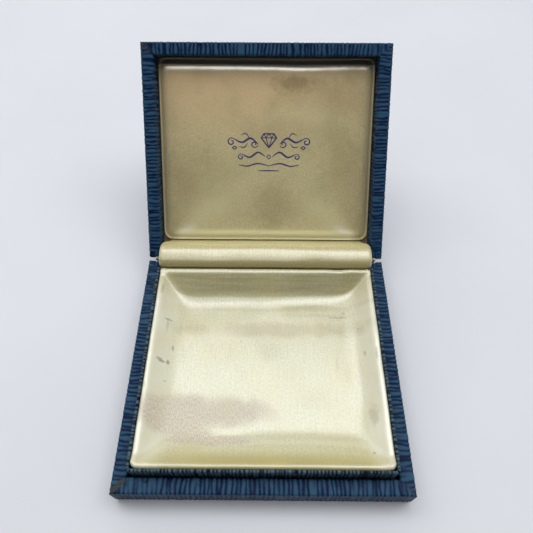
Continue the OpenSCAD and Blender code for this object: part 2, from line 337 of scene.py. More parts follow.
RIDGE = rgb(48, 83, 110)
GROOVE = rgb(0, 25, 60)
CREAM = rgb(203, 196, 156)

cover_paper = ribbed_paper("covering_paper", RIDGE, GROOVE)
collar_paper = ribbed_paper("collar_paper", rgb(76, 98, 112), rgb(2, 12, 28), grain=1.6)
sheet_paper = ribbed_paper("sheet_paper", rgb(56, 86, 114), GROOVE)

# ---------- Ribbed paper ----------


class Ribs:
    """Irregular grooves across a strip: place runs along the strip and t over it."""

    def __init__(self, seed, length, pitch=1.58, spread=0.17):
        self.seed = seed
        random = np.random.default_rng(seed)
        at, self.grooves = -length / 2 - 3, []
        while at < length / 2 + 3:
            at += float(np.clip(random.normal(pitch, spread), 0.65 * pitch, 1.4 * pitch))
            self.grooves.append({
                "at": at,
                "width": random.uniform(0.36, 0.52) * pitch / 1.58,
                "depth": random.uniform(0.8, 1.0),
                "lean": random.normal(0, 0.008),
                "start": random.uniform(0, 30) if random.random() < 0.14 else None,
                "seed": int(random.integers(1 << 30)),
            })
        self.pitch = pitch

    def depth(self, place, t):
        """How deep the grooves are at each point, from 0 on a ridge to 1."""
        shared = noise_2d(self.seed + 7, place, t, 6 * self.pitch, 5.0, 0.14 * self.pitch)
        total = np.zeros_like(place)
        for g in self.grooves:
            centre = g["at"] + noise_1d(g["seed"], t, 3.2, 0.1 * self.pitch) + g["lean"] * t
            width = g["width"] * (1 + noise_1d(g["seed"] + 1, t, 2.5, 0.18))
            strength = g["depth"] * (1 + noise_1d(g["seed"] + 2, t, 4.0, 0.14))
            if g["start"] is not None:
                strength = strength * (1 - 0.9 * np.exp(-((t - g["start"]) / 4.5) ** 2))
            total += strength * np.exp(-np.abs((place + shared - centre) / width) ** 2)
        return np.clip(total, 0, 1.15)


def half_profile():
    """The covering's section from its turned-in edge, over the rim, to the foot of the inner wall, and its back.

    Each point is (distance in from the outer face, height)."""
    edge, corner, inner_corner, bevel = 0.7, 0.75, 0.6, 0.15
    outer = line((TURN_IN, PAPER), (edge, PAPER), 5) + arc((edge, PAPER + edge), edge, 270, 180, 4)
    outer += line((0, PAPER + edge), (0, RIM_Z - corner), 9) + arc((corner, RIM_Z - corner), corner, 180, 90, 8)
    outer += line((corner, RIM_Z), (WALL - inner_corner, RIM_Z), 8)
    outer += arc((WALL - inner_corner, RIM_Z - inner_corner), inner_corner, 90, 0, 5)
    outer += line((WALL, RIM_Z - inner_corner), (WALL, BOARD_TOP), 8)
    inside = PAPER * 0.94
    high = RIM_Z - inside - bevel
    back = [(WALL - inside, BOARD_TOP), (WALL - inside, high), (inside + bevel, high), (inside, high - bevel),
            (inside, PAPER + inside), (TURN_IN, PAPER + inside)]
    return outer, back


HINGE_HALF = span("hinge_leaf_base")[1][0] + 0.6


def hinge_step(points):
    """Sets the rear rim back where the hinge barrel lies."""
    points = points.copy()
    at = (np.abs(points[:, 0]) < HINGE_HALF) & (points[:, 2] > RIM_Z - 1.0)
    outside = points[:, 1] > CASE_D / 2 - 0.3
    points[at, 1] = np.minimum(points[at, 1], CASE_D / 2 - np.where(outside, 0.75, 1.05)[at])
    return points


def rounded_corner(points, corner, radius):
    """Rounds one upright edge of the case; corner is (sign of x, sign of y)."""
    points = points.copy()
    p = np.clip(1 - (CASE_W / 2 - points[:, 0] * corner[0]) / radius, 0, 1)
    q = np.clip(1 - (CASE_D / 2 - points[:, 1] * corner[1]) / radius, 0, 1)
    at = (p > 0) & (q > 0)
    points[at, 0] += (corner[0] * radius * (p * np.sqrt(1 - q * q / 2) - p))[at]
    points[at, 1] += (corner[1] * radius * (q * np.sqrt(1 - p * p / 2) - q))[at]
    return points


def side_turn(side):
    return {"front": 0, "right": 90, "rear": 180, "left": 270}[side]


def turned(points, degrees):
    c, s = math.cos(math.radians(degrees)), math.sin(math.radians(degrees))
    points = np.array(points, float)
    x, y = points[..., 0].copy(), points[..., 1].copy()
    points[..., 0], points[..., 1] = x * c - y * s, x * s + y * c
    return points


def section_normals(section, count):
    """Outward normals of the first count points of a section that runs with the outside on its right."""
    section = np.asarray(section, float)
    ahead = np.roll(section, -1, axis=0) - section
    behind = section - np.roll(section, 1, axis=0)
    ahead[count - 1], behind[0] = behind[count - 1], ahead[0]
    tangent = ahead / np.maximum(np.linalg.norm(ahead, axis=1), 1e-9)[:, None]
    tangent += behind / np.maximum(np.linalg.norm(behind, axis=1), 1e-9)[:, None]
    tangent /= np.maximum(np.linalg.norm(tangent, axis=1), 1e-9)[:, None]
    return np.stack([-tangent[:, 1], tangent[:, 0]], axis=1)


def ribbed_strip(name, body, outer, back, ribs, half_length, plan, material, relief=0.2, mitre=1.0, columns=560,
                 wear=None, spot=None, crown=0.05, shape=None):
    """A strip of ribbed paper: the section outer + back, swept along plan, closed at both ends.

    plan(place) gives the point of the outer face and the direction inwards, both in plan."""
    outer, back = unique_points(outer), np.asarray(back, float)
    section = np.concatenate([outer, back])
    count, rows = len(outer), len(section)
    t = np.zeros(rows)
    t[:count] = path_length(outer)
    normals = section_normals(section, count)
    amount = np.zeros(rows)
    amount[:count] = 1
    amount[0] = amount[count - 1] = 0.3
    s = np.linspace(-1, 1, columns)
    place = s[:, None] * (half_length - mitre * np.maximum(section[None, :, 0], 0))
    t_grid = np.broadcast_to(t, place.shape)
    depth = ribs.depth(place, t_grid) * amount[None, :]
    ruffle = noise_2d(ribs.seed + 3, place, t_grid, 0.9, 1.6, 0.012) * amount[None, :]
    rise = crown * amount[None, :] - relief * depth + ruffle
    d = section[None, :, 0] + normals[None, :, 0] * rise
    z = section[None, :, 1] + normals[None, :, 1] * rise
    origin, inward = plan(place)
    points = np.stack([origin[0] + inward[0] * d, origin[1] + inward[1] * d, z], axis=-1)
    points = points.reshape(-1, 3)
    if shape is not None:
        points = shape(points)
    faces = grid_faces(columns, rows, closed=True)
    faces.append(tuple(range(rows)))
    faces.append(tuple(reversed(range((columns - 1) * rows, columns * rows))))
    values = {
        "groove": depth.ravel(),
        "laid": np.stack([place, t_grid + ribs.seed * 3.0, np.zeros_like(place)], axis=-1).reshape(-1, 3),
        "wear": np.zeros(len(points)) if wear is None else wear(points),
        "spot": np.zeros(len(points)) if spot is None else spot(points),
    }
    return make_mesh(name, points, faces, body, material, values)


def straight_plan(side, length_across):
    """The outer face of one side of the case: place runs along it."""
    turn = side_turn(side)

    def plan(place):
        zero = np.zeros_like(place)
        origin = turned(np.stack([place, zero - length_across / 2, zero], axis=-1), turn)
        inward = turned(np.array([0.0, 1.0, 0.0]), turn)
        return (origin[..., 0], origin[..., 1]), (inward[0], inward[1])
    return plan


def corner_wear(points, corner, size, reach=6.5, amount=1.0):
    """Wear along the mitre at one corner of the rim; corner is (sign of x, sign of y)."""
    x = CASE_W / 2 - points[:, 0] * corner[0]
    y = CASE_D / 2 - points[:, 1] * corner[1]
    across = np.abs(x - y) / math.sqrt(2)
    along = (x + y) / math.sqrt(2)
    size = size * (0.5 + 0.5 * np.sin(math.pi * np.clip(along / reach, 0, 1)))
    on_rim = smoothstep(RIM_Z - 3.5, RIM_Z - 1.0, points[:, 2])
    return amount * smoothstep(size, size * 0.35, across) * smoothstep(reach, reach * 0.8, along) * on_rim


def tip_wear(points, corner, size):
    """Wear on the very corner, all the way down."""
    x = CASE_W / 2 - points[:, 0] * corner[0]
    y = CASE_D / 2 - points[:, 1] * corner[1]
    return smoothstep(size, size * 0.3, np.hypot(x, y) + noise_1d(72, points[:, 2], 1.3, 0.22 * size))


def base_wear(points):
    wear = corner_wear(points, (-1, -1), 1.35, reach=7.4, amount=0.85)
    wear = np.maximum(wear, corner_wear(points, (1, -1), 1.6, reach=6.0, amount=0.36))
    wear = np.maximum(wear, 0.8 * tip_wear(points, (-1, -1), 1.2))
    for corner in ((1, -1), (1, 1), (-1, 1)):
        wear = np.maximum(wear, 0.45 * tip_wear(points, corner, 1.3))
    patch = np.hypot((points[:, 0] + 48.0) / 1.0, (points[:, 1] - 33.5) / 4.5)
    return np.maximum(wear, 0.75 * smoothstep(1.3, 0.4, patch) * smoothstep(RIM_Z - 2.5, RIM_Z - 0.5, points[:, 2]))


def base_spot(points):
    return smoothstep(0.62, 0.35, np.hypot(points[:, 0] + 40.3, points[:, 1] + 43.0)) * (points[:, 2] > RIM_Z - 1)


def lid_threads_and_shade(points):
    """Dark frayed threads at the hinge corner, with painted shade in the gap there."""
    away = np.hypot(np.hypot(CASE_W / 2 + points[:, 0], CASE_D / 2 - points[:, 1]), RIM_Z - points[:, 2])
    return smoothstep(2.6, 1.4, away + noise_2d(71, points[:, 0] + points[:, 2], points[:, 1], 0.5, 0.5, 0.35))


def lid_wear(points):
    wear = corner_wear(points, (-1, -1), 2.6, reach=6.8, amount=0.38)
    for corner in ((-1, -1), (1, -1), (1, 1), (-1, 1)):
        wear = np.maximum(wear, 0.45 * tip_wear(points, corner, 1.3))
    return wear


def cover_shape(body, side):
    def shape(points):
        if side == "rear":
            points = hinge_step(points)
        return rounded_corner(points, (-1, 1), 1.15) if body == "lid" else points
    return shape


for body, first_seed in (("base", 11), ("lid", 61)):
    for number, side in enumerate(("front", "rear", "left", "right")):
        along, across = (CASE_W, CASE_D) if side in ("front", "rear") else (CASE_D, CASE_W)
        ribs = Ribs(first_seed + 5 * number, along)
        outer, back = half_profile()
        cover = ribbed_strip(
            f"{body}_covering_{side}", body, outer, back, ribs, along / 2, straight_plan(side, across), cover_paper,
            wear=base_wear if body == "base" else lid_wear, spot=base_spot if body == "base" else lid_threads_and_shade,
            shape=cover_shape(body, side))
        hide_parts(f"{body}_cover_{side}")
        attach(cover, body)

# ---------- Collar and outer sheets ----------

collar_low, collar_high = span("collar_paper_front")
_, side_high = span("collar_paper_right")
COLLAR_X, COLLAR_FRONT, COLLAR_TOP = collar_high[0], collar_low[1], collar_high[2]
COLLAR_T = collar_high[1] - collar_low[1]
COLLAR_REAR = side_high[1]
COLLAR_BEND = 1.7


def collar_profile():
    """Section of the card with its covering, rounded at the top."""
    r = COLLAR_T / 2
    outer = line((0, BOARD_TOP), (0, COLLAR_TOP - r), 16) + arc((r, COLLAR_TOP - r), r, 180, 0, 10)
    outer += line((COLLAR_T, COLLAR_TOP - r), (COLLAR_T, BOARD_TOP), 14)
    return outer, [(r, BOARD_TOP)]


def collar_front_plan(place):
    """The front wall and the bends at both its ends."""
    flat = COLLAR_X - COLLAR_BEND
    past = np.clip(np.abs(place) - flat, 0, None) / COLLAR_BEND
    sign = np.sign(place)
    x = np.clip(place, -flat, flat) + sign * COLLAR_BEND * np.sin(past)
    y = COLLAR_FRONT + COLLAR_BEND * (1 - np.cos(past))
    return (x, y), (-sign * np.sin(past), np.cos(past))


def collar_side_plan(sign):
    start, end = COLLAR_FRONT + COLLAR_BEND, COLLAR_REAR
    middle = (start + end) / 2

    def plan(place):
        return (np.full_like(place, sign * COLLAR_X), middle + sign * place), (-sign, 0.0)
    return plan, (end - start) / 2


outer, back = collar_profile()
front_half = COLLAR_X - COLLAR_BEND + COLLAR_BEND * math.pi / 2
collar = ribbed_strip("collar_front", "base", outer, back, Ribs(101, 2 * front_half, 1.25, 0.16), front_half,
                      collar_front_plan, collar_paper, relief=0.1, mitre=0, columns=620, crown=0.02)
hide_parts("collar_paper_front", "collar_card_front")
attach(collar, "base")
for side, sign in (("left", -1), ("right", 1)):
    plan, half = collar_side_plan(sign)
    collar = ribbed_strip(f"collar_{side}", "base", outer, back, Ribs(105 + sign, 2 * half, 1.25, 0.16), half, plan,
                          collar_paper, relief=0.1, mitre=0, columns=560, crown=0.02)
    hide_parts(f"collar_paper_{side}", f"collar_card_{side}")
    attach(collar, "base")

sheet_low, sheet_high = span("base_sheet")


def sheet_plan(place):
    return (place, np.full_like(place, sheet_low[1])), (0.0, 1.0)


for number, body in enumerate(("base", "lid")):
    depth_y = sheet_high[1] - sheet_low[1]
    edge = 0.12
    outer = arc((depth_y - edge, edge), edge, 0, -90, 2) + line((depth_y - edge, 0), (edge, 0), 44)
    outer += arc((edge, edge), edge, 270, 180, 2)
    back = [(0, PAPER), (depth_y, PAPER)]
    sheet = ribbed_strip(f"{body}_outer_sheet", body, outer, back, Ribs(121 + 5 * number, CASE_W), sheet_high[0],
                         sheet_plan, sheet_paper, relief=0.16, mitre=0, columns=560, crown=0.0)
    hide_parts(f"{body}_sheet")
    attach(sheet, body)

# ---------- Tray ----------


def edge_lines(low, high, step, fine):
    """Places of grid lines from low to high, close together near both ends."""
    count = max(2, int(round((high - low - 2 * fine[-1]) / step)))
    inner = np.linspace(low + fine[-1], high - fine[-1], count + 1)
    return np.concatenate([low + np.array(fine[:-1]), inner, high - np.array(fine[:-1])[::-1]])


class Plan:
    """A grid over a rectangle with rounded corners: places, and distances in from each side."""

    def __init__(self, low, high, step, fine, front_corner, rear_corner):
        x = edge_lines(low[0], high[0], step, fine)
        y = edge_lines(low[1], high[1], step, fine)
        self.x, self.y = np.meshgrid(x, y, indexing="ij")
        self.left, self.right = self.x - low[0], high[0] - self.x
        self.front, self.rear = self.y - low[1], high[1] - self.y
        self.edge = np.minimum(np.minimum(self.left, self.right), np.minimum(self.front, self.rear))
        flat_x, flat_y = self.x.copy(), self.y.copy()
        for across, sign_x in ((self.left, -1), (self.right, 1)):
            for along, sign_y, corner in ((self.front, -1, front_corner), (self.rear, 1, rear_corner)):
                p, q = np.clip(1 - across / corner, 0, 1), np.clip(1 - along / corner, 0, 1)
                at = (p > 0) & (q > 0)
                p_round, q_round = p * np.sqrt(1 - q * q / 2), q * np.sqrt(1 - p * p / 2)
                self.x[at] = (flat_x + sign_x * corner * (p_round - p))[at]
                self.y[at] = (flat_y + sign_y * corner * (q_round - q))[at]
                self.edge[at] = (corner * (1 - np.hypot(p_round, q_round)))[at]
        self.shape = self.x.shape

    def rim(self):
        """Indices of the grid's border, once round."""
        n, m = self.shape
        i, j = np.arange(n), np.arange(m)
        return np.concatenate([i * m, (n - 1) * m + j[1:], i[::-1][1:] * m + m - 1, j[::-1][1:-1]])


def pad_mesh(name, body, plan, height, skirt, material, values):
    """A closed padded form: the grid on top, a skirt of (height, inset) rings below its border, and a flat back."""
    n, m = plan.shape
    top = np.stack([plan.x, plan.y, height], axis=-1).reshape(-1, 3)
    rim = plan.rim()
    middle = (top[rim].min(axis=0) + top[rim].max(axis=0)) / 2
    reach = (top[rim].max(axis=0) - top[rim].min(axis=0)) / 2
    points, faces = [top], grid_faces(n, m)
    first, before = n * m, rim
    for z, inset in skirt:
        ring = top[rim].copy()
        ring[:, :2] = middle[:2] + (ring[:, :2] - middle[:2]) * (1 - inset / reach[:2])
        ring[:, 2] = z
        points.append(ring)
        now = np.arange(first, first + len(rim))
        after, now_after = np.roll(before, -1), np.roll(now, -1)
        faces += [tuple(int(v) for v in f) for f in zip(before, now, now_after, after)]
        before, first = now, first + len(rim)
    points.append([[middle[0], middle[1], skirt[-1][0]]])
    faces += [(int(a), first, int(b)) for a, b in zip(before, np.roll(before, -1))]
    points = np.concatenate(points)
    laid_at = points.copy()
    laid_at[:, 2] = 0
    extended = {"laid": laid_at}
    for key, value in values.items():
        extended[key] = np.concatenate([value.ravel()] + [value.ravel()[rim]] * len(skirt) + [[0.0]])
    return make_mesh(name, points, faces, body, material, extended)


def smooth_min(a, b, width):
    """The lower of two, with the crease between them rounded over that width."""
    h = np.clip(width - np.abs(a - b), 0, None) / np.maximum(width, 1e-9)
    return np.minimum(a, b) - h * h * width / 4


tray_low, tray_high = span("tray_satin")
TRAY_FLOOR = 8.5
ROLL = 0.9


def past_roll(distance):
    """Distance past the rolled edge and its narrow flat top, starting softly."""
    return np.hypot(np.maximum(distance - ROLL - 0.4, 0), 1.2) - 1.2


def dish(distance, width, power):
    """How far a dished slope has fallen, from 0 at the rolled edge to 1 on the floor, steepest at the edge."""
    u = np.clip(past_roll(distance) / width, 0, 1)
    return 1 - (1 - u) ** power


def incline(distance, width, bend):
    """The same for a straight slope, rounded over bend at its foot."""
    u = np.clip(past_roll(distance) / width, 0, 1.5)
    return smooth_min(u, 1.0 + 0 * u, bend)


def tray_height(plan):
    rear_width = 10.4 - 1.7 * smoothstep(-10, 38, plan.x) - 2.6 * smoothstep(27, 45, plan.x)
    rear_width += noise_1d(31, plan.x, 12, 0.25)
    left = dish(plan.left, 16.0 + noise_1d(32, plan.y, 14, 1.1), 2.6)
    right = dish(plan.right, 11.0 + noise_1d(37, plan.y, 14, 1.0), 2.1)
    front = dish(plan.front, 14.2 + noise_1d(33, plan.x, 16, 0.4), 2.25)
    rear = incline(plan.rear, rear_width - 0.9, 0.42)
    drop = smooth_min(smooth_min(np.minimum(left, right), rear, 0.2), front, 0.42)
    inner_top = tray_high[2] + noise_2d(34, plan.x, plan.y, 9, 9, 0.07)
    at_rear = smoothstep(9, 0, plan.rear)
    rise, dip = (np.exp(-((plan.x - x) / width) ** 2) for x, width in ((37.5, 2.6), (31.5, 2.8)))
    inner_top += at_rear * (0.22 * rise - 0.34 * dip)
    height = inner_top - (inner_top - TRAY_FLOOR) * drop
    height += noise_2d(35, plan.x, plan.y, 15, 11, 0.08) * smoothstep(0.3, 0.9, drop)
    height += noise_2d(36, plan.x, plan.y, 5.5, 9, 0.045) * smoothstep(0.05, 0.3, drop)
    rolled = np.clip(ROLL - plan.edge, 0, ROLL)
    return height - ROLL + np.sqrt(np.maximum(ROLL ** 2 - rolled ** 2, 0))


def tray_satin():
    material, tree, shader, at, colour = satin("tray_satin_weave", CREAM, roughness=0.3)
    across, down = (add(tree, "SeparateXYZ", {0: at}, out=k) for k in (0, 1))
    # Painted sheen: the side slopes are tinted paler and whiter, for the light they reflect.
    sides = highest(tree, remap(tree, across, 36, 42), remap(tree, across, -33, -42))
    sides = times(tree, sides, remap(tree, down, 38, 26))
    colour = tinted(tree, colour, sides, 0.85, rgb(234, 229, 206))
    # Painted sheen: a paler band where the front slope runs into the floor.
    front = near(tree, at, (1, -31.0), (46, 4.6), soft=0.6)
    colour = tinted(tree, colour, front, 0.2, rgb(226, 220, 188))
    # Painted reflection: a darker yellow band along the front slope, for the golden lid it mirrors.
    front_slope_reflection = near(tree, at, (2, -37.8), (43, 3.4), soft=0.8)
    colour = tinted(tree, colour, front_slope_reflection, 0.75, rgb(168, 152, 76))
    # Painted shade: the rear slope is darkened, in streaks, where it faces away from the light.
    streaks = noise(tree, stretched(tree, at, (0.05, 0.9, 1)), 1.0, 4, 0.65)
    rear_slope_shade = times(tree, attribute(tree, "rear"), remap(tree, streaks, 0.3, 0.7, 0.2, 0.6))
    colour = mix(tree, rear_slope_shade, colour, rgb(142, 130, 86))
    worn = near(tree, at, (-32, -20), (16, 7.4), soft=0.3, wobble=0.2, grain=0.12)
    for centre, radii, soft in (((-17, -19), (18, 5.0), 0.45), ((-20, -29.2), (15, 1.7), 0.35),
                                ((-27, -27), (8, 3.0), 0.5)):
        worn = highest(tree, worn, near(tree, at, centre, radii, soft=soft, wobble=0.2, grain=0.15))
    crepe = noise(tree, stretched(tree, at, (1.5, 0.6, 1)), 1.8, 4, 0.75)
    crepe_shade = mix(tree, remap(tree, crepe, 0.38, 0.62), rgb(166, 146, 122), rgb(220, 206, 186))
    colour = tinted(tree, colour, worn, 0.8, crepe_shade)
    speckle = noise(tree, stretched(tree, at, (1.2, 0.8, 1)), 2.6, 3, 0.7)
    colour = mix(tree, remap(tree, speckle, 0.5, 0.8, 0.0, 0.3), colour, rgb(186, 176, 126))
    dirt = ((-43.5, 29.6), (0.6, 2.2), 0.4), ((-39.7, 16.9), (1.5, 0.35), 0.5), ((-39.9, 14.5), (0.5, 2.6), 0.3), \
        ((-37.0, 5.5), (0.5, 0.95), 0.75), ((-41.2, 0.0), (0.9, 0.5), 0.6), ((-40.2, -0.8), (0.9, 0.45), 0.7), \
        ((-38.1, -0.6), (0.55, 0.8), 0.85), ((-38.4, -8.1), (0.6, 0.25), 0.5), ((-44.7, -11.2), (0.3, 1.4), 0.4), \
        ((31.0, 20.1), (3.4, 0.4), 0.5), ((33.4, 22.0), (0.7, 0.5), 0.5), ((38.5, 14.4), (0.35, 0.35), 0.6), \
        ((40.0, 3.2), (0.35, 1.0), 0.5), ((43.9, 1.6), (0.5, 2.4), 0.45), ((29.0, 0.0), (0.5, 3.4), 0.25), \
        ((40.6, -20.6), (1.3, 3.4), 0.3), ((39.2, -33.5), (0.3, 0.4), 0.6), ((-9.7, 9.5), (0.4, 0.4), 0.4), \
        ((22, 21.0), (16, 0.8), 0.14)
    for centre, radii, strength in dirt:
        mark = near(tree, at, centre, radii, soft=0.5, wobble=0.35, grain=0.6)
        colour = tinted(tree, colour, mark, strength, rgb(100, 90, 42))
    # Painted shade: two soft darker bands across the rear of the floor.
    for centre, radii, strength in (((5, 24.4), (34, 1.6), 0.42), ((5, 14.4), (35, 2.9), 0.5)):
        floor_shade_band = near(tree, at, centre, radii, soft=0.6, wobble=0.35, grain=0.12)
        colour = tinted(tree, colour, floor_shade_band, strength, rgb(150, 130, 60))
    age = noise(tree, at, 0.05, 3, 0.55)
    colour = mix(tree, remap(tree, age, 0.35, 0.7, 0.0, 0.3), colour, rgb(205, 186, 122))
    paint(tree, shader, colour)
    rough = mix(tree, worn, (0.3, 0.3, 0.3, 1), (0.5, 0.5, 0.5, 1))
    tree.links.new(rough, shader.inputs["Roughness"])
    threads = shader.inputs["Normal"].links[0].from_socket
    pleats = times(tree, crepe, worn)
    tree.links.new(add(tree, "Bump", {"Height": pleats, "Distance": 0.14 * MM, "Strength": 0.9, "Normal": threads}),
                   shader.inputs["Normal"])
    return material


def rear_share(plan):
    """1 on the rear slope, fading at its mitres and foot."""
    sides = np.minimum(plan.left, plan.right)
    within_mitres = smoothstep(-0.8, 3.2, sides - plan.rear)
    return within_mitres * smoothstep(10.8, 7.4, plan.rear) * smoothstep(1.2, 2.6, plan.rear)


tray_plan = Plan(tray_low, tray_high, 0.42, (0, 0.05, 0.12, 0.22, 0.34, 0.48, 0.64, 0.82, 1.05, 1.35), 2.4, 1.5)
tray = pad_mesh("tray_cushion", "base", tray_plan, tray_height(tray_plan),
                [(15.5, 0.0), (13.0, 0.02), (10.0, 0.03), (tray_low[2], 0.06)], tray_satin(),
                {"rear": rear_share(tray_plan)})
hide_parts("tray_satin", "tray_wadding", "tray_former")
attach(tray, "base")

# ---------- Lid pad ----------

pad_low, pad_high = span("lid_pad_satin", "lid")
PAD_EDGE = 4.0
PAD_FACE = pad_high[2]
PAD_GOLD = rgb(217, 201, 152)


def pad_satin():
    material, tree, shader, at, colour = satin("lid_pad_weave", PAD_GOLD, warp=(2.4, 0.25), weft=0.45, roughness=0.38)
    # Painted light: a lighter, warmer tone towards the top left of the pad.
    top_left_light = near(tree, at, (-22, -36), (60, 22), soft=0.9)
    colour = tinted(tree, colour, top_left_light, 0.6, rgb(246, 204, 152))
    age = noise(tree, at, 0.045, 3, 0.55)
    colour = mix(tree, remap(tree, age, 0.4, 0.7, 0.0, 0.35), colour, rgb(164, 148, 96))
    # Dark brown marks: a smear near the top and small spots, and painted shade in the broad zones between the corner
    # folds.
    stains_and_fold_shade = ((12, -30.2), (8, 3.2), 0.5), ((22, -24), (14, 7), 0.12), ((36, -21), (9, 12), 0.12), \
        ((2, 23), (9, 8), 0.26), ((-35, 12), (12, 15), 0.2), ((36, 13), (11, 15), 0.22), \
        ((-45, -2), (0.6, 1.5), 0.3), ((44, 6), (0.5, 1.2), 0.3), ((27, 21), (0.3, 0.7), 0.4)
    for centre, radii, strength in stains_and_fold_shade:
        mark = near(tree, at, centre, radii, soft=0.7, wobble=0.4, grain=0.3)
        colour = tinted(tree, colour, mark, strength, rgb(138, 106, 58))
    across, down = (add(tree, "SeparateXYZ", {0: at}, out=k) for k in (0, 1))
    # Painted sheen: paler fans along the corner folds and a paler diagonal band over the face.
    pale = near(tree, at, (19, -17), (14, 4), soft=0.9, wobble=0.3, grain=0.1)
    pale = highest(tree, times(tree, pale, 0.5), attribute(tree, "fold_sheen"))
    colour = tinted(tree, colour, pale, 0.5, rgb(234, 226, 172))
    # Painted reflection: a pale band along the foot of the pad, for the light thrown up from the apron.
    pad_foot_reflection = times(tree, remap(tree, down, 33.8, 37.0),
                          remap(tree, math_node(tree, "ABSOLUTE", across), 43.0, 38.0))
    colour = tinted(tree, colour, pad_foot_reflection, 0.85, rgb(252, 244, 200))
    # Painted highlight along the top shoulder of the pad.
    shoulder_highlight = near(tree, at, (0, -37.0), (44, 1.3), soft=0.7, wobble=0.3, grain=0.1)
    colour = tinted(tree, colour, shoulder_highlight, 0.75, rgb(255, 252, 240))
    # Painted glint at the lower corners, where the folds start.
    colour = mix(tree, attribute(tree, "glint"), colour, rgb(255, 250, 232))
    # Painted light along the side edges of the pad.
    side_edge_light = remap(tree, math_node(tree, "ABSOLUTE", across), 43.2, 45.0)
    colour = tinted(tree, colour, side_edge_light, 0.55, rgb(246, 220, 168))
    # Painted shadow along the top edge of the pad, under the lid's rim.
    top_edge_shadow = remap(tree, down, -38.0, -38.7)
    colour = tinted(tree, colour, top_edge_shadow, 0.8, rgb(70, 56, 34))
    paint(tree, shader, colour)
    # Metal is mixed in only on the painted highlight and glint, to brighten them.
    glossy = highest(tree, times(tree, shoulder_highlight, 0.85),
                       times(tree, attribute(tree, "glint"), 0.25))
    tree.links.new(glossy, shader.inputs["Metallic"])
    shader.inputs["Sheen Weight"].default_value = 0.25
    shader.inputs["Sheen Roughness"].default_value = 0.35
    return material


def shoulder(distance, straight, tilt, radius):
    """Rise of a padded edge, from 0 to 1: a straight slope, then a bend of that radius into the face."""
    d = np.linspace(0, 60, 1201)
    angle = np.clip(math.radians(tilt) - np.maximum(d - straight, 0) / radius, 0, None)
    rise = np.concatenate([[0], np.cumsum(np.tan((angle[1:] + angle[:-1]) / 2) * np.diff(d))])
    return np.interp(distance, d, rise / rise[-1])


def corner_folds(plan):
    """Folds that fan out over the pad from its two corners by the hinge: (the fold, which also sets a painted sheen
    along it, and the painted glint where it starts).
    """
    folds, glints = np.zeros(plan.shape), np.zeros(plan.shape)
    for corner, end, glint_x in (((-41, 38.5), (-1, 4), -36.5), ((40, 38.5), (9, 11), 35.5)):
        run = np.subtract(end, corner)
        reach = np.hypot(*run)
        x, y = plan.x - corner[0], plan.y - corner[1]
        along = (x * run[0] + y * run[1]) / reach
        across = (y * run[0] - x * run[1]) / reach
        fold = np.exp(-(across / (1.8 + 0.27 * np.maximum(along, 0))) ** 2)
        folds = np.maximum(folds, fold * smoothstep(0, 5, along) * smoothstep(reach * 1.05, reach * 0.3, along))
        x, y = (plan.x - glint_x) * -math.copysign(1, glint_x), plan.y - 35.3
        glints = np.maximum(glints, np.exp(-((0.92 * y + 0.38 * x) / 1.3) ** 2 - ((0.92 * x - 0.38 * y) / 4.2) ** 2))
    return folds, glints


def pad_height(plan):
    """The pad before its cloth settles: a pillow with a shoulder along its sides and a nearly flat face."""
    top = shoulder(plan.front + noise_1d(42, plan.x, 18, 0.25) * smoothstep(0, 2, plan.front), 1.0, 36, 9.0)
    sides = shoulder(plan.left, 0.8, 50, 4.0) * shoulder(plan.right, 0.8, 50, 4.0)
    foot = shoulder(plan.rear, 0.8, 50, 4.6)
    corners = sum(np.exp(-(np.hypot(plan.x - x, plan.y - y) / 9) ** 2) for x, y in ((-43, 38), (43, 38)))
    height = PAD_EDGE + (PAD_FACE - PAD_EDGE) * top * sides * foot * (1 - 0.3 * corners)
    height += noise_2d(41, plan.x, plan.y, 13, 11, 0.05) * smoothstep(1, 6, plan.edge)
    return height + 0.22 * corner_folds(plan)[0]


def settled(piece, face_count, pinned, pressure, slack, cap, frames=20):
    """Settles a cloth piece by simulation, at ten times its size, and caps how far a point moves, in millimetres.

    The pressure lies on the first face_count faces from outside: they are turned over in the simulated copy."""
    mesh = piece.data
    count = len(mesh.vertices)
    before = np.empty(count * 3, np.float32)
    mesh.vertices.foreach_get("co", before)
    before = before.reshape(-1, 3).astype(float)
    big = bpy.data.objects.new("stuffing", mesh.copy())
    bpy.context.scene.collection.objects.link(big)
    big.data.vertices.foreach_set("co", (before * 10).ravel().astype(np.float32))
    for face in big.data.polygons[:face_count]:
        face.flip()
    group = big.vertex_groups.new(name="pinned")
    group.add([int(v) for v in pinned], 1.0, "REPLACE")
    cloth = big.modifiers.new("cloth", "CLOTH")
    cloth.settings.quality = 8
    cloth.settings.mass = 0.3
    cloth.settings.tension_stiffness = 25
    cloth.settings.compression_stiffness = 25
    cloth.settings.bending_stiffness = 0.6
    cloth.settings.vertex_group_mass = "pinned"
    cloth.settings.use_pressure = True
    cloth.settings.uniform_pressure_force = pressure
    cloth.settings.shrink_min = -slack
    cloth.settings.effector_weights.gravity = 0
    cloth.collision_settings.use_collision = False
    cloth.point_cache.frame_start, cloth.point_cache.frame_end = 1, frames
    scene = bpy.context.scene
    for f in range(1, frames + 1):
        scene.frame_set(f)
    at_rest = big.evaluated_get(bpy.context.evaluated_depsgraph_get()).to_mesh()
    after = np.empty(count * 3, np.float32)
    at_rest.vertices.foreach_get("co", after)
    after = after.reshape(-1, 3).astype(float) / 10
    scene.frame_set(1)
    bpy.data.objects.remove(big)
    moved = after - before
    length = np.linalg.norm(moved, axis=1)
    moved *= (np.minimum(length, cap * MM) / np.maximum(length, 1e-12))[:, None]
    mesh.vertices.foreach_set("co", (before + moved).ravel().astype(np.float32))
    mesh.update()


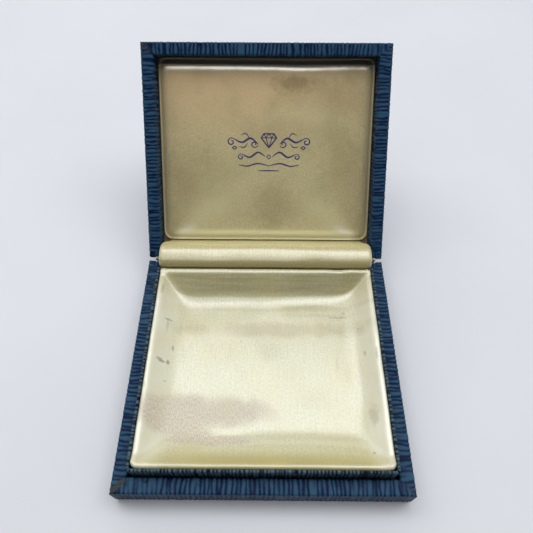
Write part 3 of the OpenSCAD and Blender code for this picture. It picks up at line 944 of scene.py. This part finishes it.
def subdivided(piece, levels):
    modifier = piece.modifiers.new("subdivision", "SUBSURF")
    modifier.levels = modifier.render_levels = levels
    modifier.boundary_smooth = "PRESERVE_CORNERS"
    bpy.context.view_layer.update()
    mesh = bpy.data.meshes.new_from_object(piece.evaluated_get(bpy.context.evaluated_depsgraph_get()))
    piece.modifiers.clear()
    piece.data = mesh
    mesh.shade_smooth()


pad_plan = Plan(pad_low, pad_high, 2.0, (0, 0.15, 0.5, 1.1, 1.9, 2.8, 3.8, 4.9, 6.2), 2.0, 3.4)
pad = pad_mesh("lid_cushion", "lid", pad_plan, pad_height(pad_plan), [(3.6, 0.0), (3.2, 0.03), (pad_low[2], 0.1)],
               pad_satin(), dict(zip(("fold_sheen", "glint"), corner_folds(pad_plan))))
loose = (pad_plan.edge > 0.4).ravel()
pinned = np.concatenate([np.flatnonzero(~loose), np.arange(len(loose), len(pad.data.vertices))])
face_count = (pad_plan.shape[0] - 1) * (pad_plan.shape[1] - 1)
settled(pad, face_count, pinned, pressure=3.0, slack=0.012, cap=0.8)
subdivided(pad, 2)
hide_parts("lid_pad_satin", "lid_pad_wadding", "lid_pad_card")
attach(pad, "lid")

# ---------- Printed ornament ----------

ink, tree, shader = new_material("printing_ink", 0.55)
worn_ink = noise(tree, laid(tree), 1.6, 4, 0.7)
paint(tree, shader, mix(tree, remap(tree, worn_ink, 0.35, 0.75), rgb(46, 46, 104), rgb(84, 80, 122)))

pad_tree = BVHTree.FromPolygons([v.co for v in pad.data.vertices], [p.vertices[:] for p in pad.data.polygons])
PRINT_OUT = Vector(placed([0, 0, 1], "lid") - placed([0, 0, 0], "lid"))


def on_pad(x, y):
    """The point of the pad's face over a place of the lid."""
    return pad_tree.ray_cast(Vector(placed([x, y, 20], "lid") * MM), -PRINT_OUT)[0]


def stroke(points, width, closed=False, swell=0.0):
    """A flat ribbon along points of the lid; swell thickens its middle, as a pen does."""
    points = np.array(points, float)
    ahead, behind = np.roll(points, -1, axis=0), np.roll(points, 1, axis=0)
    if not closed:
        ahead[-1], behind[0] = points[-1], points[0]
    run = ahead - behind
    run /= np.maximum(np.linalg.norm(run, axis=1), 1e-9)[:, None]
    side = np.stack([-run[:, 1], run[:, 0]], axis=1)
    t = np.linspace(0, 1, len(points))
    half = width / 2 * (1 - swell + swell * np.sin(math.pi * t)) if not closed else np.full(len(points), width / 2)
    return np.stack([points - side * half[:, None], points + side * half[:, None]], axis=1), closed


def spiral(centre, radius, start, turns):
    """A curl that runs in from a radius to 0.28 of it."""
    t = np.linspace(0, 1, 40)
    a = np.radians(start) + 2 * math.pi * turns * t
    r = radius * (1 - (1 - 0.28) * t)
    return np.stack([centre[0] + r * np.cos(a), centre[1] + r * np.sin(a)], axis=1)


def curve_through(points, steps):
    """A smooth curve through a few points."""
    points = np.array(points, float)
    t = np.concatenate([[0], np.cumsum(np.linalg.norm(np.diff(points, axis=0), axis=1))])
    fine = np.linspace(0, t[-1], steps)
    slope = np.gradient(points, t, axis=0)
    out = []
    for f in fine:
        k = min(int(np.searchsorted(t, f, side="right")) - 1, len(t) - 2)
        h = t[k + 1] - t[k]
        u = (f - t[k]) / h
        out.append((2 * u ** 3 - 3 * u ** 2 + 1) * points[k] + (u ** 3 - 2 * u ** 2 + u) * h * slope[k]
                   + (3 * u ** 2 - 2 * u ** 3) * points[k + 1] + (u ** 3 - u ** 2) * h * slope[k + 1])
    return np.array(out)


def outline(corners, steps, width):
    """A closed stroke along straight sides."""
    sides = [line(corner, corners[(k + 1) % len(corners)], steps)[:-1] for k, corner in enumerate(corners)]
    return stroke(np.concatenate(sides), width, closed=True)


def ornament_strokes():
    """A cut gem between scrolls, over two rules. Places are (right, down) from the middle of the ornament."""
    strokes = [outline([(-3.4, -7.0), (-2.2, -8.8), (2.2, -8.8), (3.4, -7.0), (0, -2.6)], 6, 0.62)]
    facets = ((-3.4, -7.0), (3.4, -7.0)), ((-1.3, -7.0), (0, -2.6)), ((1.3, -7.0), (0, -2.6)), \
        ((-2.2, -8.8), (-1.3, -7.0)), ((0, -8.8), (-1.3, -7.0)), ((0, -8.8), (1.3, -7.0)), ((2.2, -8.8), (1.3, -7.0))
    strokes += [stroke(line(from_here, to_here, 6), 0.4) for from_here, to_here in facets]
    right_half = (
        (curve_through([(4.8, -4.2), (8.0, -6.8), (12.0, -5.0), (15.6, -6.6)], 40), 0.9, 0.6),
        (spiral((16.6, -5.2), 1.8, -125, 1.15), 0.62, 0.4),
        (spiral((6.4, -4.2), 1.6, 160, -1.1), 0.56, 0.4),
        (curve_through([(8.6, -6.9), (10.4, -8.9), (12.4, -8.2)], 20), 0.5, 0.7),
        (curve_through([(9.4, -4.6), (11.0, -2.8), (13.2, -3.2)], 20), 0.5, 0.7),
        (curve_through([(1.6, 1.2), (4.6, -0.6), (8.6, 1.6), (12.0, 0.2)], 40), 0.85, 0.6),
        (spiral((12.4, 1.5), 1.35, -100, 1.1), 0.55, 0.4),
        (curve_through([(0.0, 5.4), (5.0, 4.4), (10.0, 5.6), (13.4, 5.0)], 30), 0.65, 0.5))
    for sign in (-1, 1):
        strokes += [stroke(points * (sign, 1), width, swell=swell) for points, width, swell in right_half]
    strokes += [outline([(x - 1.0, -2.6), (x, -3.3), (x + 1.0, -2.6), (x, -1.9)], 4, 0.5) for x in (-15.2, 15.2)]
    strokes.append(outline([(-0.9, 1.4), (0, 0.4), (0.9, 1.4), (0, 2.4)], 4, 0.4))
    strokes.append(stroke(line((-4.6, 7.6), (4.6, 7.6), 20), 0.55, swell=0.5))
    return strokes


PRINT_CENTRE = (1.2, 0.0)
INK_HEIGHT = 0.02
points, faces, flat = [], [], []
for ribbon, closed in ornament_strokes():
    first, count = len(points), len(ribbon)
    for right, left in ribbon:
        for (x, y), height in ((right, 0), (left, 0), (left, INK_HEIGHT), (right, INK_HEIGHT)):
            points.append(on_pad(PRINT_CENTRE[0] + x, PRINT_CENTRE[1] + y) + PRINT_OUT * height * MM)
            flat.append((x, y, 0))
    for k in range(count if closed else count - 1):
        a, b = first + 4 * k, first + 4 * ((k + 1) % count)
        faces += [(a + c, b + c, b + (c + 1) % 4, a + (c + 1) % 4) for c in range(4)]
    if not closed:
        faces += [tuple(range(first, first + 4)), tuple(reversed(range(len(points) - 4, len(points))))]
mesh = bpy.data.meshes.new("lid_print")
mesh.from_pydata(points, [], faces)
layer = mesh.attributes.new("laid", "FLOAT_VECTOR", "POINT")
layer.data.foreach_set("vector", np.array(flat, np.float32).ravel())
mesh.materials.append(ink)
mesh.update()
lid_print = bpy.data.objects.new("lid_print", mesh)
bpy.context.scene.collection.objects.link(lid_print)
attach(lid_print, "lid")

# ---------- Apron, its stiffener and the snap spring ----------

APRON_FOOT, APRON_HEAD_SHUT = (40.2, 16.0), (40.55, 20.2)
APRON_RISE, APRON_TAIL_Z, APRON_HEAD_TAIL = 6.4, 9.0, 1.3
APRON_HALF = span("apron_satin")[1][0]


def opened(y, z):
    turned_point = swing([0, y, z], -OPEN_ANGLE)
    return np.array([turned_point[1], turned_point[2]])


foot, head = np.array(APRON_FOOT), opened(*APRON_HEAD_SHUT)
chord = head - foot
ARCH_R = (chord @ chord / 4 + APRON_RISE ** 2) / (2 * APRON_RISE)
chord_up = np.array([-chord[1], chord[0]]) / np.linalg.norm(chord)
ARCH_C = (foot + head) / 2 - (ARCH_R - APRON_RISE) * chord_up
# The roll as it lies, a little fuller than the arch over the hinge
ROLL_LINE = [foot, (40.2, 17.0), (40.55, 18.0), (41.4, 18.95), (42.8, 19.75), (45, 20.5), (47.3, 20.85), (49.6, 20.4),
             (51.6, 19.1), (53.3, 17.1), (55.3, 14.7), head]


def bent_strip(name, half_width, columns, path, thickness, material, drawn_in=None, narrowed=None, sway=None):
    """A strip that follows a path of (y, z) across its whole width, closed all round.

    drawn_in(x share) moves the points towards the arch's centre, narrowed(path share) narrows the strip."""
    path = np.array(path, float)
    length = path_length(path)
    share = length / length[-1]
    ahead = np.gradient(path, length, axis=0)
    normal = np.stack([-ahead[:, 1], ahead[:, 0]], axis=1)
    normal /= np.linalg.norm(normal, axis=1)[:, None]
    s = np.linspace(-1, 1, columns)
    s = s * (1.25 - 0.25 * s * s)
    points, laid_at = [], []
    for sign in (1, -1):
        s_grid, k = np.meshgrid(s, np.arange(len(path)), indexing="ij")
        x = s_grid * half_width * (1 if narrowed is None else narrowed(share)[k])
        lift = sign * thickness / 2
        if drawn_in is not None:
            lift = lift - drawn_in(np.abs(s_grid)) * np.sin(math.pi * np.clip(share, 0.04, 0.96))[k]
        if sway is not None:
            lift = lift + sway(x, length[k]) * np.sin(math.pi * share)[k]
        yz = path[k] + normal[k] * np.asarray(lift)[..., None]
        layer = np.stack([x, yz[..., 0], yz[..., 1]], axis=-1)
        laid_layer = np.stack([x, length[k], np.zeros_like(x)], axis=-1)
        if sign < 0:
            layer, laid_layer = layer[:, ::-1], laid_layer[:, ::-1]
        points.append(layer)
        laid_at.append(laid_layer)
    points, laid_at = np.concatenate(points, axis=1), np.concatenate(laid_at, axis=1)
    rows = points.shape[1]
    faces = grid_faces(columns, rows, closed=True)
    faces.append(tuple(range(rows)))
    faces.append(tuple(reversed(range((columns - 1) * rows, columns * rows))))
    piece = make_mesh(name, points.reshape(-1, 3), faces, "base", material, {"laid": laid_at.reshape(-1, 3)})
    return piece, length[-1]


def arch(radius, start, end, steps):
    angles = np.linspace(start, end, steps + 1)
    return [tuple(ARCH_C + radius * np.array([math.cos(a), math.sin(a)])) for a in angles]


def apron_satin():
    material, tree, shader, at, colour = satin("apron_weave", rgb(206, 192, 138), roughness=0.32)
    age = noise(tree, at, 0.07, 3, 0.55)
    colour = mix(tree, remap(tree, age, 0.35, 0.7, 0.0, 0.3), colour, rgb(192, 176, 112))
    foot_at, head_at = foot[1] - APRON_TAIL_Z, path_length(apron_path)[-1] - APRON_HEAD_TAIL
    # Painted shade in the creases at both ends of the roll and over its lower face.
    crease_shade = (foot_at + 0.4, 1.3, 0.75), (foot_at + 2.6, 2.6, 0.42), (head_at - 1.0, 1.3, 0.8)
    for centre, reach, strength in crease_shade:
        shaded = near(tree, at, (0, centre), (90, reach), soft=0.6)
        colour = tinted(tree, colour, shaded, strength, rgb(118, 104, 54))
    paint(tree, shader, colour)
    return material


tail_low = (foot[0], APRON_TAIL_Z)
tail_high = tuple(opened(APRON_HEAD_SHUT[0], APRON_HEAD_SHUT[1] + APRON_HEAD_TAIL))
roll = curve_through(ROLL_LINE, 50)
apron_path = unique_points(
    line(tail_low, tuple(foot), 8) + [tuple(p) for p in roll] + line(tuple(head), tail_high, 3))


def pillow_end(s):
    """The satin is drawn in over the stiffener's ends."""
    end = np.clip((s - 0.955) / 0.045, 0, 1)
    return 2.2 * (1 - np.sqrt(np.clip(1 - end * end, 0, 1)))


apron, apron_length = bent_strip(
    "hinge_apron", APRON_HALF, 260, apron_path, 0.3, apron_satin(), pillow_end,
    lambda share: 1 - 0.058 * smoothstep(0.62, 1.0, share) - 0.012 * smoothstep(0.38, 0.2, share),
    lambda x, t: noise_2d(51, x, t, 11, 5, 0.06) + noise_2d(52, x, t, 30, 7, 0.1))
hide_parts("apron_satin")
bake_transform(apron)


# ---------- Finishes of the CAD pieces that stay ----------


def wood():
    material, tree, shader = new_material("softwood", 0.7)
    at = add(tree, "TexCoord", out=3)
    grain = noise(tree, stretched(tree, at, (60, 900, 900)), 1.0, 5, 0.6, 0.4)
    paint(tree, shader, mix(tree, remap(tree, grain, 0.3, 0.7), rgb(206, 172, 122), rgb(164, 122, 78)))
    bump(tree, shader, grain, 0.1, 0.6)
    return material


def fibre_board(name, light, dark):
    material, tree, shader = new_material(name, 0.85)
    at = add(tree, "TexCoord", out=3)
    flecks = noise(tree, at, 1400, 4, 0.7)
    clouds = noise(tree, at, 160, 3, 0.6)
    shade = plus(tree, times(tree, flecks, 0.6), times(tree, clouds, 0.4))
    paint(tree, shader, mix(tree, remap(tree, shade, 0.35, 0.65), dark, light))
    bump(tree, shader, flecks, 0.05, 0.7)
    return material


def steel(name, colour, roughness, brushed):
    material, tree, shader = new_material(name, roughness)
    shader.inputs["Metallic"].default_value = 1.0
    at = add(tree, "TexCoord", out=3)
    lines = noise(tree, stretched(tree, at, brushed), 1.0, 4, 0.6)
    stains = noise(tree, at, 220, 4, 0.6)
    dull = tuple(c * 0.6 for c in colour[:3]) + (1,)
    paint(tree, shader, mix(tree, remap(tree, stains, 0.45, 0.75), colour, dull))
    tree.links.new(remap(tree, lines, 0.3, 0.7, roughness - 0.1, roughness + 0.15), shader.inputs["Roughness"])
    bump(tree, shader, lines, 0.02, 0.5)
    return material


hinge_metal = steel("hinge_metal", rgb(116, 110, 98), 0.42, (120, 2600, 2600))
wire_metal = steel("wire_metal", rgb(112, 110, 104), 0.36, (200, 2400, 2400))
spring_metal = steel("spring_metal", rgb(128, 136, 150), 0.3, (2600, 160, 160))
card = fibre_board("grey_card", rgb(176, 164, 140), rgb(146, 134, 112))
finishes = {
    "rail": wood(), "board": fibre_board("pulp_board", rgb(190, 168, 128), rgb(160, 138, 100)),
    "hinge_leaf": hinge_metal, "hinge_pin": wire_metal, "hinge_tacks": wire_metal,
}
for name, node in frame["nodes"].items():
    for part, material in finishes.items():
        if part in name and not node.hide_render:
            for k in range(len(node.data.materials)):
                node.data.materials[k] = material

inwards = ARCH_C - roll
stiffener_path = roll + 0.75 * inwards / np.linalg.norm(inwards, axis=1)[:, None]
stiffener, _ = bent_strip("apron_card", 43.6, 60, stiffener_path[2:-2], 0.4, card)
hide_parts("apron_stiffener")
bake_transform(stiffener)

_, spring_high = span("snap_spring")
spring_foot_y = CASE_D / 2 - WALL - 0.25
spring_r = ARCH_R - 2.1
spring_from = math.pi - math.acos((ARCH_C[0] - spring_foot_y) / spring_r)
arch_c_shut = swing([0, ARCH_C[0], ARCH_C[1]], OPEN_ANGLE)[1:]
spring_end = opened(spring_foot_y, arch_c_shut[1] + math.sqrt(spring_r ** 2 - (spring_foot_y - arch_c_shut[0]) ** 2))
spring_to = math.atan2(spring_end[1] - ARCH_C[1], spring_end[0] - ARCH_C[0])
bend_z = ARCH_C[1] + spring_r * math.sin(spring_from)
spring_tip = tuple(opened(spring_foot_y, 2 * HINGE_Z - BOARD_TOP - 0.4))
spring_path = unique_points(line((spring_foot_y, 6.0), (spring_foot_y, bend_z), 6)
                            + arch(spring_r, spring_from, spring_to, 30)
                            + line(tuple(spring_end), spring_tip, 4))
spring, _ = bent_strip("snap_spring_steel", spring_high[0], 24, spring_path, 0.25, spring_metal)
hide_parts("snap_spring")
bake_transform(spring)

# ---------- Camera, floor and light ----------

FRAME, FOCAL, FRAME_SHIFT = 533, 510.0, -56.8
SENSOR = 36
CAMERA_PLACE = (0.001236, -0.07595, 0.20828)
LOOK_DOWN, LOOK_LEFT, TILT = math.radians(52.28), math.radians(-0.37), math.radians(0.098)

camera_data = bpy.data.cameras.new("camera")
camera_data.sensor_width = SENSOR
camera_data.lens = SENSOR * FOCAL / FRAME
camera_data.shift_y = FRAME_SHIFT / FRAME
camera_data.clip_start = 0.01
camera = bpy.data.objects.new("camera", camera_data)
bpy.context.scene.collection.objects.link(camera)
flat = math.cos(LOOK_DOWN)
ahead = Vector((math.sin(LOOK_LEFT) * flat, math.cos(LOOK_LEFT) * flat, -math.sin(LOOK_DOWN)))
level = ahead.cross(Vector((0, 0, 1))).normalized()
right = level * math.cos(TILT) + level.cross(ahead) * math.sin(TILT)
up = right.cross(ahead)
turn = Matrix((right, up, -ahead)).transposed().to_4x4()
camera.matrix_world = Matrix.Translation(CAMERA_PLACE) @ turn
bpy.context.scene.camera = camera
bpy.context.scene.view_settings.view_transform = "Standard"

floor_paint, tree, shader = new_material("floor_paint", 0.6)
mottle = noise(tree, add(tree, "TexCoord", out=3), 9.0, 3, 0.5)
paint(tree, shader, mix(tree, remap(tree, mottle, 0.3, 0.7), rgb(221, 220, 224), rgb(225, 224, 228)))
bpy.ops.mesh.primitive_plane_add(size=6, location=(0, 0, 0))
floor = bpy.context.object
floor.name = "floor"
floor.data.materials.append(floor_paint)


def soft_light(name, place, aim, size, power, colour):
    data = bpy.data.lights.new(name, "AREA")
    data.shape = "RECTANGLE"
    data.size, data.size_y = size
    data.energy = power
    data.color = colour
    lamp = bpy.data.objects.new(name, data)
    lamp.location = place
    lamp.rotation_euler = (Vector(aim) - Vector(place)).to_track_quat("-Z", "Y").to_euler()
    bpy.context.scene.collection.objects.link(lamp)
    return lamp


DAYLIGHT, LAMPLIGHT = (0.94, 0.98, 1.0), (0.97, 0.99, 1.0)
ON_TRAY, ON_FLOOR, ON_HINGE = (0, 0.03, 0.02), (0, 0.03, 0), (0, 0.1, 0.02)
soft_light("ceiling_rear", (0.03, 0.26, 1.0), ON_FLOOR, (1.9, 0.38), 7.6, DAYLIGHT)
soft_light("ceiling_front", (0.03, -0.13, 1.0), ON_FLOOR, (1.3, 0.40), 2.9, DAYLIGHT)
soft_light("ceiling_back", (0.03, 0.70, 0.95), ON_FLOOR, (1.7, 0.44), 1.2, DAYLIGHT)
soft_light("rear_window", (-0.15, 1.1, 0.7), ON_HINGE, (1.4, 0.6), 2.8, DAYLIGHT)
for side, x, power in (("left", -1.0, 3.6), ("right", 1.0, 2.7)):
    soft_light(f"{side}_wall", (x * 1.05, 0.4, 0.55), ON_TRAY, (1.0, 0.9), power, DAYLIGHT)
    soft_light(f"{side}_lamp", (x * 0.92, -0.68, 0.36), ON_TRAY, (0.4, 0.4), 0.25, LAMPLIGHT)

world = bpy.data.worlds.new("world")
world.use_nodes = True
sky = world.node_tree.nodes["Background"]
sky.inputs["Color"].default_value = (0.93, 0.95, 1.0, 1)
sky.inputs["Strength"].default_value = 0.06
bpy.context.scene.world = world
